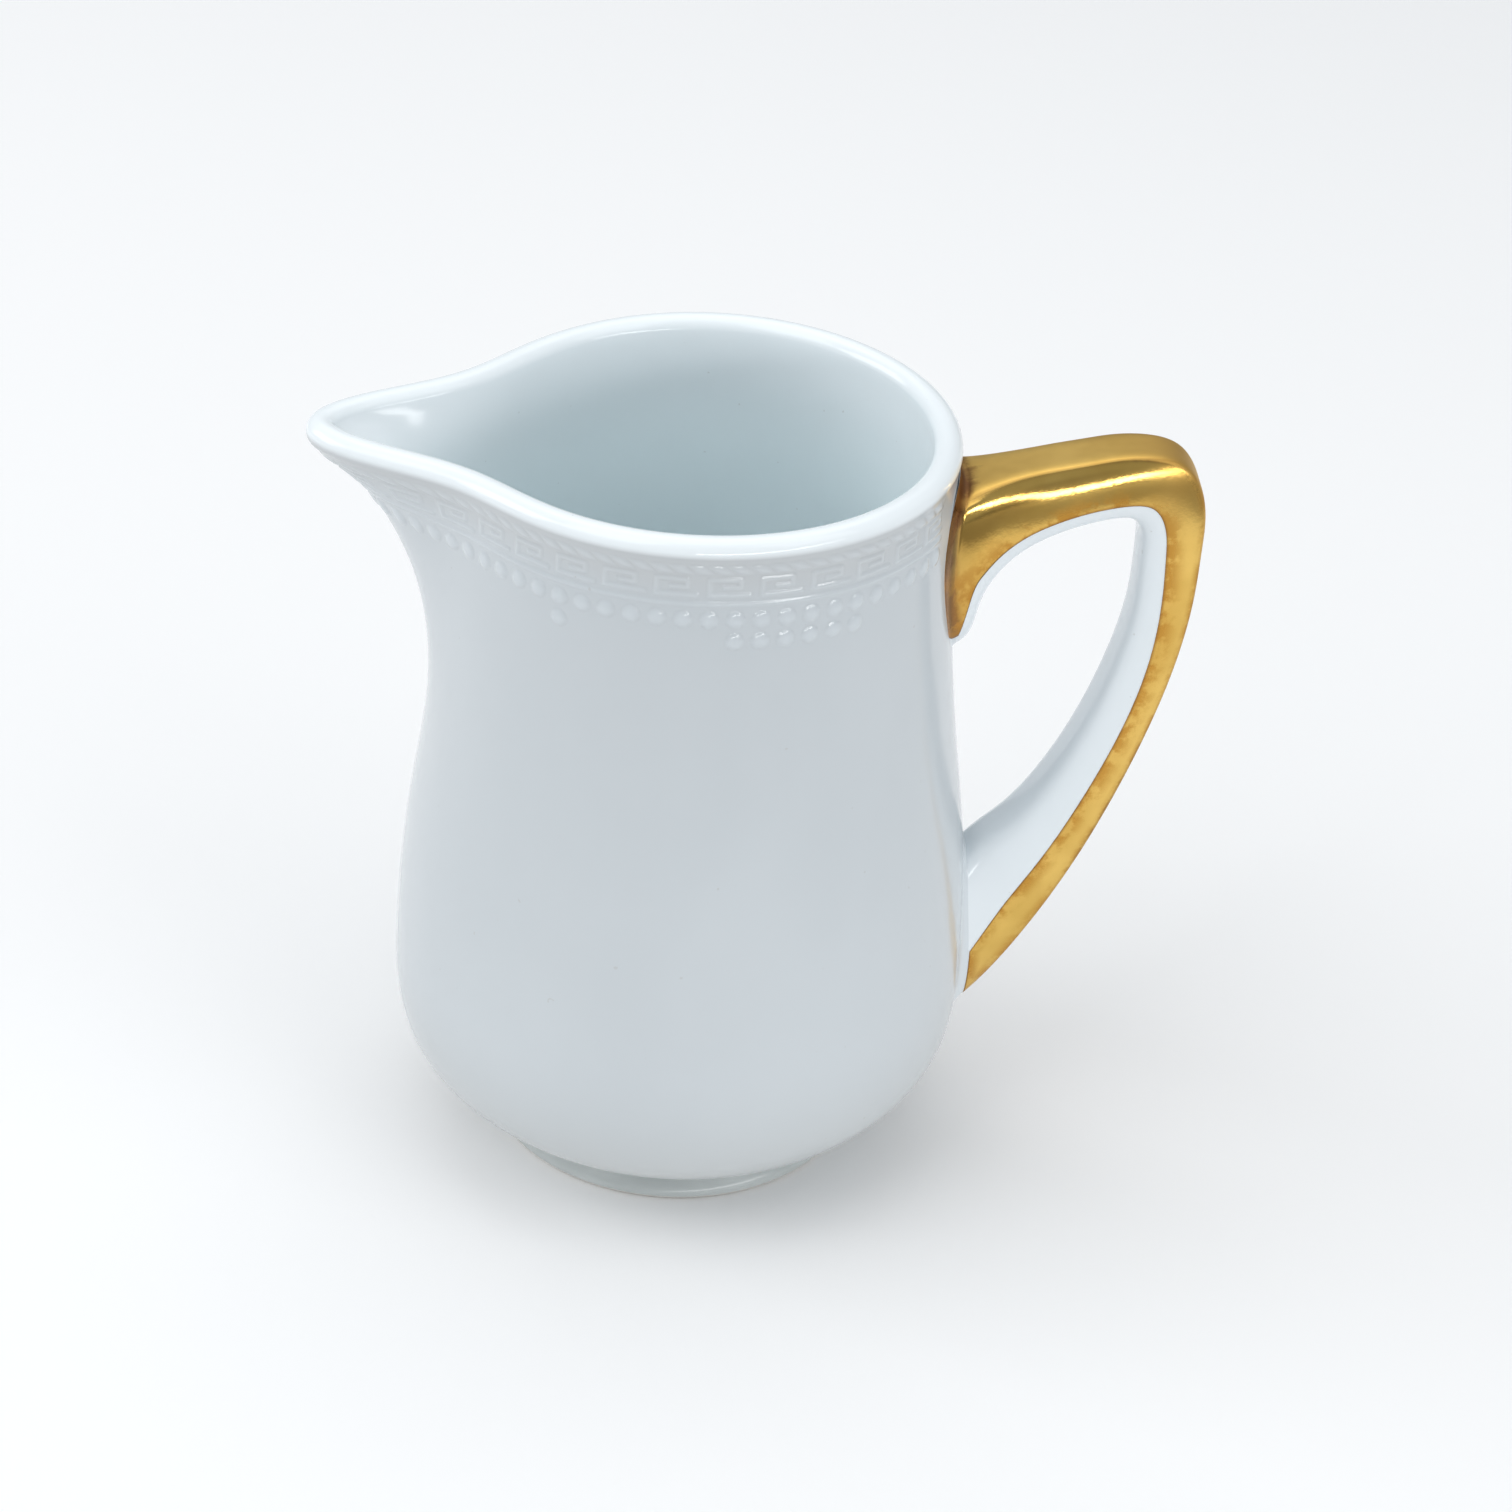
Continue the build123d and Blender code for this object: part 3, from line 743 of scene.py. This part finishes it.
def burnished_gold(name="burnished_gold"):
    """Fired gold: mirror bright at the sides, satin outside, burnt brown at its borders."""
    surface = Surface(name)
    mottle = surface.rise(surface.noise(300.0, 4.0, 0.65), 0.36, 0.64)
    patches = surface.rise(surface.noise(95.0, 3.0, 0.6), 0.36, 0.66)
    down = surface.attribute("down")
    from_joint, from_edge = surface.attribute("from_joint"), surface.attribute("from_edge")
    on_strap = surface.rise(from_joint, 28.0, 40.0)
    colour = surface.mix(patches, (0.74, 0.47, 0.115), (0.86, 0.57, 0.155))
    # Thin, mottled gold along the free border, and darker, mottled gold along the back of the strap.
    border = surface.rise(from_edge, 0.3, 3.2, 0.9, 0.0)
    back = surface.math("MULTIPLY", surface.rise(down, 0.015, 0.16, 0.75, 0.0), on_strap)
    thin_edge_dark_back = surface.math("MAXIMUM", border, back)
    thin_edge_dark_back = surface.math("MULTIPLY", thin_edge_dark_back, surface.rise(mottle, 0.1, 0.9, 0.25, 1.0))
    colour = surface.mix(thin_edge_dark_back, colour, (0.56, 0.27, 0.045))
    wavy_joint = surface.math("ADD", from_joint, surface.math("MULTIPLY", mottle, 1.2))
    burnt = surface.rise(wavy_joint, 2.6, 5.8, 0.94, 0.0)
    colour = surface.mix(burnt, colour, (0.20, 0.08, 0.033))
    # A darker line along the ridge: painted dark reflection.
    ridge = surface.rise(down, 0.02, 0.07, 1.0, 0.0)
    ridge = surface.math("MULTIPLY", surface.rise(down, 0.006, 0.020), ridge)
    colour = surface.mix(surface.math("MULTIPLY", ridge, 0.4), colour, (0.42, 0.22, 0.06))
    smudge = surface.rise(mottle, 0.1, 0.9, 0.3, 0.6)
    smudge = surface.math("MULTIPLY", surface.attribute("smudge"), smudge)
    colour = surface.mix(smudge, colour, (0.26, 0.13, 0.04))
    # Darker, orange gold low on the side near the root, a brown band under the ridge as painted dark
    # reflection, and a duller top corner, its colour darkened as painted shade.
    root = surface.rise(from_joint, 4.0, 22.0, 1.0, 0.0)
    root = surface.math("MULTIPLY", surface.rise(down, 0.28, 0.50), root)
    root = surface.math("MULTIPLY", root, surface.rise(mottle, 0.1, 0.9, 0.35, 0.9))
    colour = surface.mix(root, colour, (0.52, 0.25, 0.045))
    # The brown band under the ridge: painted dark reflection.
    under = surface.rise(down, 0.24, 0.46, 1.0, 0.0)
    under = surface.math("MULTIPLY", surface.rise(down, 0.10, 0.17, 0.0, 0.40), under)
    under = surface.math("MULTIPLY", under, surface.rise(from_joint, 16.0, 34.0, 1.0, 0.0))
    colour = surface.mix(under, colour, (0.36, 0.20, 0.05))
    # Round the top corner the gold is rougher, and its colour is darkened: painted shade.
    bend = surface.attribute("bend")
    colour = surface.mix(surface.math("MULTIPLY", bend, 0.6), colour, (0.55, 0.32, 0.08))
    edge_line = surface.rise(from_edge, 0.05, 0.45, 0.65, 0.0)
    colour = surface.mix(edge_line, colour, (0.32, 0.15, 0.045))
    satin = surface.rise(down, 0.012, 0.06, 0.38, 0.11)
    rough = surface.math("ADD", satin, surface.math("MULTIPLY", thin_edge_dark_back, 0.20))
    rough = surface.math("ADD", rough, surface.math("MULTIPLY", burnt, 0.15))
    rough = surface.math("ADD", rough, surface.math("MULTIPLY", bend, 0.14))
    grain = surface.noise(1500.0, 2.0, 0.6)
    surface.bump(grain, 0.00002, 0.5)
    surface.set(Base_Color=colour, Metallic=1.0, Roughness=rough)
    return surface.material


def foot_porcelain(name="foot_porcelain"):
    """Glazed side, drawn darker as painted shade under the belly, and a bare, wiped resting edge."""
    surface = Surface(name)
    bare = surface.rise(surface.axis("Z"), 0.00035, 0.0007, 1.0, 0.0)
    clouds = surface.rise(surface.noise(60.0), 0.35, 0.65)
    # The glazed side is darker than the body's glaze: painted shade under the belly.
    glaze_painted_shade = surface.mix(clouds, (0.50, 0.535, 0.53), (0.57, 0.605, 0.60))
    colour = surface.mix(bare, glaze_painted_shade, (0.66, 0.64, 0.60))
    surface.set(
        Base_Color=colour, IOR=1.5,
        Roughness=surface.rise(bare, 0.0, 1.0, 0.2, 0.7),
        Specular_IOR_Level=surface.rise(bare, 0.0, 1.0, 0.5, 0.2),
    )
    return surface.material


# ---- the pieces ---------------------------------------------------------------------------------
def add_piece(item, material, slot, *nodes):
    item.data.materials.append(material)
    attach(item, "root")
    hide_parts(*nodes)


glaze = porcelain("glazed_porcelain")
slip = porcelain("joint_slip", (0.70, 0.755, 0.79), (0.68, 0.735, 0.77))
RELIEF_NODES = ("rope_edging", "fret_border", "fillet_line", "bead_row", "drop_beads")

add_piece(cast_body(), body_porcelain(), "glazed_porcelain", "jug_body", *RELIEF_NODES)
add_piece(foot(), foot_porcelain(), "foot_porcelain", "foot_ring")
add_piece(handle_porcelain(), glaze, "glazed_porcelain", "handle")
add_piece(slip_fillet("upper_slip", True), slip, "joint_slip", "upper_luting_slip")
add_piece(slip_fillet("lower_slip", False), slip, "joint_slip", "lower_luting_slip")
add_piece(handle_gold(), burnished_gold(), "burnished_gold", "handle_gilding")


# ---- the studio ---------------------------------------------------------------------------------
def add_floor():
    half, level = 1500.0, -0.02
    points = [(x, y, level) for x, y in ((-half, -half), (half, -half), (half, half), (-half, half))]
    floor = mesh_object("floor", points, [[0, 1, 2, 3]])
    surface = Surface("pale_floor")
    # In front, out of the camera's sight, the floor falls away to grey.
    x, y = surface.axis("X"), surface.axis("Y")
    squares = (surface.math("MULTIPLY", axis, axis) for axis in (x, y))
    distance = surface.math("SQRT", surface.math("ADD", *squares), 0.0)
    in_front = surface.rise(y, -0.10, 0.0, 1.0, 0.0)
    grey = surface.math("MULTIPLY", surface.rise(distance, 0.20, 0.30), in_front)
    colour = surface.mix(grey, (0.97, 0.97, 0.97), (0.36, 0.36, 0.36))
    surface.set(Base_Color=colour, Roughness=0.9, Specular_IOR_Level=0.1)
    floor.data.materials.append(surface.material)


def add_light(name, place, target, size, radiance, tilt=0.0):
    """A rectangular soft light, its strength given as the brightness of its face."""
    data = bpy.data.lights.new(name, "AREA")
    data.shape, data.size, data.size_y = "RECTANGLE", size[0], size[1]
    data.energy = radiance * size[0] * size[1] * np.pi
    light = bpy.data.objects.new(name, data)
    light.location = place
    aim = (Vector(target) - Vector(place)).to_track_quat("-Z", "Y")
    light.rotation_euler = (aim @ Quaternion((0, 0, 1), np.radians(tilt))).to_euler()
    bpy.context.scene.collection.objects.link(light)


def add_studio():
    world = bpy.data.worlds.new("studio")
    world.use_nodes = True
    background = world.node_tree.nodes["Background"]
    background.inputs["Color"].default_value = (0.90, 0.95, 1.0, 1)
    background.inputs["Strength"].default_value = 0.40
    bpy.context.scene.world = world
    bpy.context.scene.view_settings.view_transform = "Standard"
    target = (0, 0, 0.08)
    add_light("overhead", (0, 0.10, 1.0), target, (1.0, 0.9), 0.95)
    add_light("front_left", (-0.65, -0.50, 0.90), target, (0.7, 0.7), 1.6)
    add_light("front_right", (0.65, -0.50, 0.90), target, (0.7, 0.7), 1.1)
    add_light("left", (-1.10, 0.10, 0.55), target, (0.8, 0.6), 2.9)
    add_light("right", (1.10, 0.10, 0.55), target, (0.8, 0.6), 0.3)
    add_light("back", (0, 0.66, 1.02), target, (1.2, 0.7), 0.6)
    add_light("strip", (0.447, -0.914, 0.19), (0.04, 0, 0.095), (1.25, 0.10), 8.0, tilt=14)


add_floor()
add_studio()
